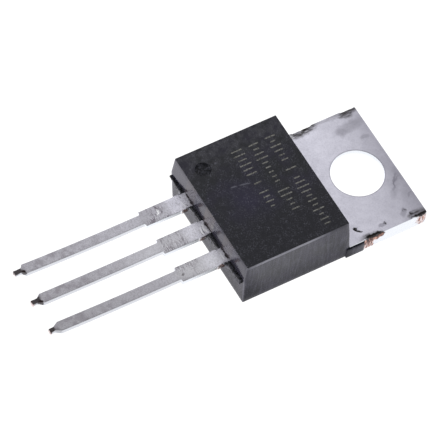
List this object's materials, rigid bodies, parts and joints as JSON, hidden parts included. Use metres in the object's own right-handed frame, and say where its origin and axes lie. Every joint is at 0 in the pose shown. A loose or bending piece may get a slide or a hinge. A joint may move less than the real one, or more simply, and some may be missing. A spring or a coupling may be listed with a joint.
{
  "type": "voltage regulator",
  "caption": "Linear voltage regulator in a black epoxy package, with a drilled heat-sink tab at one end and a row of straight flat leads at the other.",
  "frame": {"origin": "centre of the mounting hole, on the flat back of the tab, which is the face that the part rests on", "axes": "+Y towards the tab's free end, with the leads running along -Y; +Z out of the front face; +X to the right, seen from the front with the leads downwards"},
  "size_m": [0.0102, 0.0286, 0.0046],
  "materials": {
    "epoxy_moulding": "black silica-filled epoxy, satin as it leaves the mould",
    "tinned_tab": "copper strip with matte tin plate, bare copper where it was sheared",
    "tinned_lead": "copper strip with matte tin plate, bare copper where it was sheared",
    "silicon": "polished silicon with a metal pattern",
    "solder": "soft solder, satin",
    "bond_wire": "drawn aluminium wire, bright"
  },
  "bodies": {
    "root": {"mould_body": "epoxy_moulding", "tab_and_ground_lead": "tinned_tab", "input_lead": "tinned_lead", "output_lead": "tinned_lead", "regulator_die": "silicon", "die_solder": "solder", "bond_wire_input": "bond_wire", "bond_wire_output": "bond_wire", "bond_wire_sense": "bond_wire", "bond_wire_ground": "bond_wire"}
  },
  "joints": []
}
